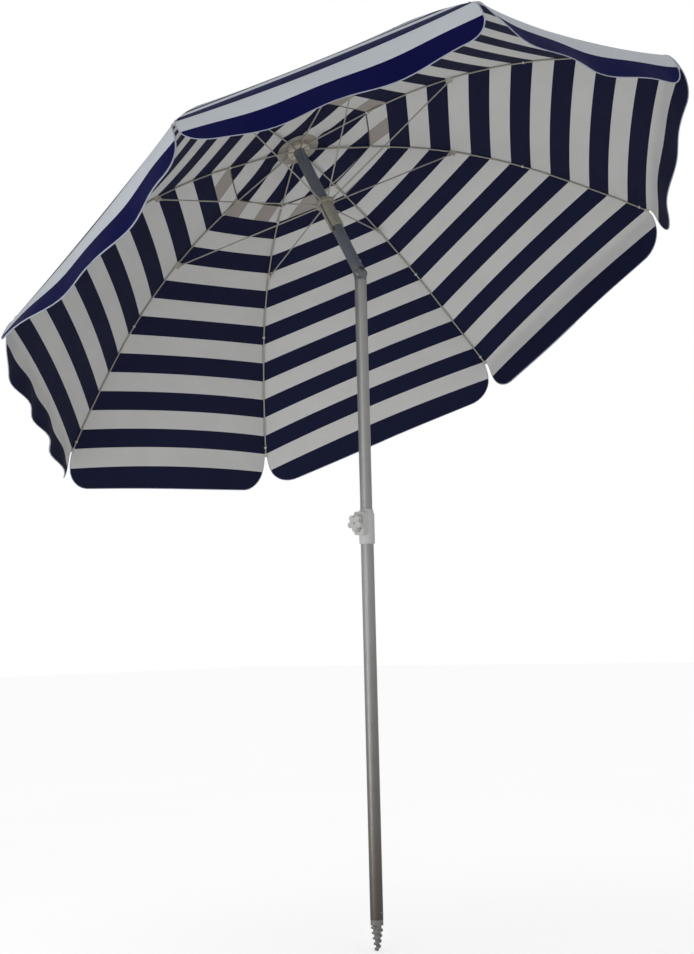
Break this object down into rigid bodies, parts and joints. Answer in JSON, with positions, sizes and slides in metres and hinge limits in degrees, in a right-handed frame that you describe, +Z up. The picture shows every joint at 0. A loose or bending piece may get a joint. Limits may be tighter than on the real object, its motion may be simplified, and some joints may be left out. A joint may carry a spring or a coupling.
{
  "type": "beach umbrella",
  "caption": "Round striped beach umbrella on a telescoping pole with a clamp knob, a tilt knuckle, a vented canopy, a runner with folding ribs and a screw-in ground auger.",
  "frame": {"origin": "centre of the lower tube's bottom end, where the ground auger begins", "axes": "+Z up along the lower pole; the canopy tilts towards +X; the tilt pin lies along Y"},
  "size_m": [1.4921, 1.7281, 2.1678],
  "materials": {
    "pole": "satin silver powder coat",
    "grey_plastic": "moulded grey",
    "clamp_plastic": "moulded light grey",
    "knuckle_plastic": "moulded grey",
    "knuckle_metal": "satin",
    "ivory_plastic": "moulded ivory",
    "steel": "zinc plated",
    "rib_wire": "off-white coated steel",
    "canopy_cloth": "navy and white printed stripes, coated polyester",
    "patch": "stiff felt",
    "binding": "woven tape"
  },
  "bodies": {
    "lower_pole": {"lower_tube": "pole", "ground_auger": "grey_plastic", "auger_cross_pin": "steel", "clamp_collar": "clamp_plastic", "clamp_nut": "steel"},
    "clamp_screw": {"clamp_knob": "clamp_plastic", "clamp_stud": "steel"},
    "middle_pole": {"middle_tube": "pole", "guide_plug": "clamp_plastic", "knuckle_tongue": "knuckle_plastic"},
    "upper_pole": {"upper_tube": "pole", "knuckle_fork": "knuckle_metal", "tilt_bolt": "steel", "tilt_nut": "steel", "crown_hub": "ivory_plastic", "crown_wire": "steel", "crown_patch": "patch", "finial": "ivory_plastic", "finial_screw": "steel"},
    "button": {"tilt_button": "knuckle_plastic"},
    "catch": {"runner_catch": "steel"},
    "runner": {"runner": "ivory_plastic", "runner_wire": "steel"},
    "rib_1": {"rib_1": "rib_wire", "rib_fittings_1": "ivory_plastic", "canopy_sector_1": "canopy_cloth"},
    "stretcher_1": {"stretcher_1": "rib_wire"},
    "rib_2": {"rib_2": "rib_wire", "rib_fittings_2": "ivory_plastic", "canopy_sector_2": "canopy_cloth", "closing_strap": "binding"},
    "stretcher_2": {"stretcher_2": "rib_wire"},
    "rib_3": {"rib_3": "rib_wire", "rib_fittings_3": "ivory_plastic", "canopy_sector_3": "canopy_cloth"},
    "stretcher_3": {"stretcher_3": "rib_wire"},
    "rib_4": {"rib_4": "rib_wire", "rib_fittings_4": "ivory_plastic", "canopy_sector_4": "canopy_cloth"},
    "stretcher_4": {"stretcher_4": "rib_wire"},
    "rib_5": {"rib_5": "rib_wire", "rib_fittings_5": "ivory_plastic", "canopy_sector_5": "canopy_cloth"},
    "stretcher_5": {"stretcher_5": "rib_wire"},
    "rib_6": {"rib_6": "rib_wire", "rib_fittings_6": "ivory_plastic", "canopy_sector_6": "canopy_cloth"},
    "stretcher_6": {"stretcher_6": "rib_wire"},
    "rib_7": {"rib_7": "rib_wire", "rib_fittings_7": "ivory_plastic", "canopy_sector_7": "canopy_cloth"},
    "stretcher_7": {"stretcher_7": "rib_wire"},
    "rib_8": {"rib_8": "rib_wire", "rib_fittings_8": "ivory_plastic", "canopy_sector_8": "canopy_cloth"},
    "stretcher_8": {"stretcher_8": "rib_wire"}
  },
  "joints": [
    {"name": "height_slide", "type": "slide", "parent": "lower_pole", "child": "middle_pole", "axis": [0, 0, 1], "range_m": [-0.55, 0.1]},
    {"name": "knob_turn", "type": "hinge", "parent": "lower_pole", "child": "clamp_screw", "pos_m": [0, 0.031, 0.965], "axis": [0, 1, 0], "range_deg": [-90, 720]},
    {"name": "tilt", "type": "hinge", "parent": "middle_pole", "child": "upper_pole", "pos_m": [0, 0, 1.59], "axis": [0, 1, 0], "range_deg": [-30, 15]},
    {"name": "tilt_button_press", "type": "slide", "parent": "upper_pole", "child": "button", "axis": [0.866, 0, -0.5], "range_m": [0, 0.0025], "stiffness_N_per_m": 1500, "springref_m": -0.0005},
    {"name": "catch_press", "type": "slide", "parent": "upper_pole", "child": "catch", "axis": [-0.0489, -0.9984, 0.0283], "range_m": [0, 0.0024], "stiffness_N_per_m": 1500, "springref_m": -0.0005},
    {"name": "runner_slide", "type": "slide", "parent": "upper_pole", "child": "runner", "axis": [-0.5, 0, -0.866], "range_m": [0, 0.105]},
    {"name": "rib_fold_1", "type": "hinge", "parent": "upper_pole", "child": "rib_1", "pos_m": [0.21787, 0.00594, 1.93337], "axis": [-0.2857, 0.944, 0.1649], "range_deg": [0, 7.73], "deforming": ["canopy_sector_1"]},
    {"name": "stretcher_fold_1", "type": "hinge", "parent": "rib_1", "child": "stretcher_1", "pos_m": [0.50769, 0.14044, 1.66545], "axis": [-0.2857, 0.944, 0.1649], "range_deg": [-15.11, 0]},
    {"name": "rib_fold_2", "type": "hinge", "parent": "upper_pole", "child": "rib_2", "pos_m": [0.20992, 0.01621, 1.93796], "axis": [-0.7801, 0.4343, 0.4504], "range_deg": [0, 7.73], "deforming": ["canopy_sector_2", "closing_strap"]},
    {"name": "stretcher_fold_2", "type": "hinge", "parent": "rib_2", "child": "stretcher_2", "pos_m": [0.31973, 0.38353, 1.77397], "axis": [-0.7801, 0.4343, 0.4504], "range_deg": [-15.11, 0]},
    {"name": "rib_fold_3", "type": "hinge", "parent": "upper_pole", "child": "rib_3", "pos_m": [0.19801, 0.01699, 1.94484], "axis": [-0.8176, -0.3299, 0.472], "range_deg": [0, 7.73], "deforming": ["canopy_sector_3"]},
    {"name": "stretcher_fold_3", "type": "hinge", "parent": "rib_3", "child": "stretcher_3", "pos_m": [0.03797, 0.40195, 1.93665], "axis": [-0.8176, -0.3299, 0.472], "range_deg": [-15.11, 0]},
    {"name": "rib_fold_4", "type": "hinge", "parent": "upper_pole", "child": "rib_4", "pos_m": [0.18911, 0.00782, 1.94997], "axis": [-0.3761, -0.9008, 0.2171], "range_deg": [0, 7.73], "deforming": ["canopy_sector_4"]},
    {"name": "stretcher_fold_4", "type": "hinge", "parent": "rib_4", "child": "stretcher_4", "pos_m": [-0.17255, 0.18491, 2.05819], "axis": [-0.3761, -0.9008, 0.2171], "range_deg": [-15.11, 0]},
    {"name": "rib_fold_5", "type": "hinge", "parent": "upper_pole", "child": "rib_5", "pos_m": [0.18843, -0.00594, 1.95036], "axis": [0.2857, -0.944, -0.1649], "range_deg": [0, 7.73], "deforming": ["canopy_sector_5"]},
    {"name": "stretcher_fold_5", "type": "hinge", "parent": "rib_5", "child": "stretcher_5", "pos_m": [-0.1885, -0.14044, 2.0674], "axis": [0.2857, -0.944, -0.1649], "range_deg": [-15.11, 0]},
    {"name": "rib_fold_6", "type": "hinge", "parent": "upper_pole", "child": "rib_6", "pos_m": [0.19638, -0.01621, 1.94578], "axis": [0.7801, -0.4343, -0.4504], "range_deg": [0, 7.73], "deforming": ["canopy_sector_6"]},
    {"name": "stretcher_fold_6", "type": "hinge", "parent": "rib_6", "child": "stretcher_6", "pos_m": [-0.00054, -0.38353, 1.95888], "axis": [0.7801, -0.4343, -0.4504], "range_deg": [-15.11, 0]},
    {"name": "rib_fold_7", "type": "hinge", "parent": "upper_pole", "child": "rib_7", "pos_m": [0.20829, -0.01699, 1.9389], "axis": [0.8176, 0.3299, -0.472], "range_deg": [0, 7.73], "deforming": ["canopy_sector_7"]},
    {"name": "stretcher_fold_7", "type": "hinge", "parent": "rib_7", "child": "stretcher_7", "pos_m": [0.28122, -0.40195, 1.7962], "axis": [0.8176, 0.3299, -0.472], "range_deg": [-15.11, 0]},
    {"name": "rib_fold_8", "type": "hinge", "parent": "upper_pole", "child": "rib_8", "pos_m": [0.21719, -0.00782, 1.93376], "axis": [0.3761, 0.9008, -0.2171], "range_deg": [0, 7.73], "deforming": ["canopy_sector_8"]},
    {"name": "stretcher_fold_8", "type": "hinge", "parent": "rib_8", "child": "stretcher_8", "pos_m": [0.49174, -0.18491, 1.67466], "axis": [0.3761, 0.9008, -0.2171], "range_deg": [-15.11, 0]}
  ],
  "couplings": [
    {"joint": "rib_fold_1", "follows": "runner_slide", "rad_per_m": 1.2762},
    {"joint": "stretcher_fold_1", "follows": "runner_slide", "rad_per_m": -2.5032},
    {"joint": "rib_fold_2", "follows": "runner_slide", "rad_per_m": 1.2762},
    {"joint": "stretcher_fold_2", "follows": "runner_slide", "rad_per_m": -2.5032},
    {"joint": "rib_fold_3", "follows": "runner_slide", "rad_per_m": 1.2762},
    {"joint": "stretcher_fold_3", "follows": "runner_slide", "rad_per_m": -2.5032},
    {"joint": "rib_fold_4", "follows": "runner_slide", "rad_per_m": 1.2762},
    {"joint": "stretcher_fold_4", "follows": "runner_slide", "rad_per_m": -2.5032},
    {"joint": "rib_fold_5", "follows": "runner_slide", "rad_per_m": 1.2762},
    {"joint": "stretcher_fold_5", "follows": "runner_slide", "rad_per_m": -2.5032},
    {"joint": "rib_fold_6", "follows": "runner_slide", "rad_per_m": 1.2762},
    {"joint": "stretcher_fold_6", "follows": "runner_slide", "rad_per_m": -2.5032},
    {"joint": "rib_fold_7", "follows": "runner_slide", "rad_per_m": 1.2762},
    {"joint": "stretcher_fold_7", "follows": "runner_slide", "rad_per_m": -2.5032},
    {"joint": "rib_fold_8", "follows": "runner_slide", "rad_per_m": 1.2762},
    {"joint": "stretcher_fold_8", "follows": "runner_slide", "rad_per_m": -2.5032}
  ]
}
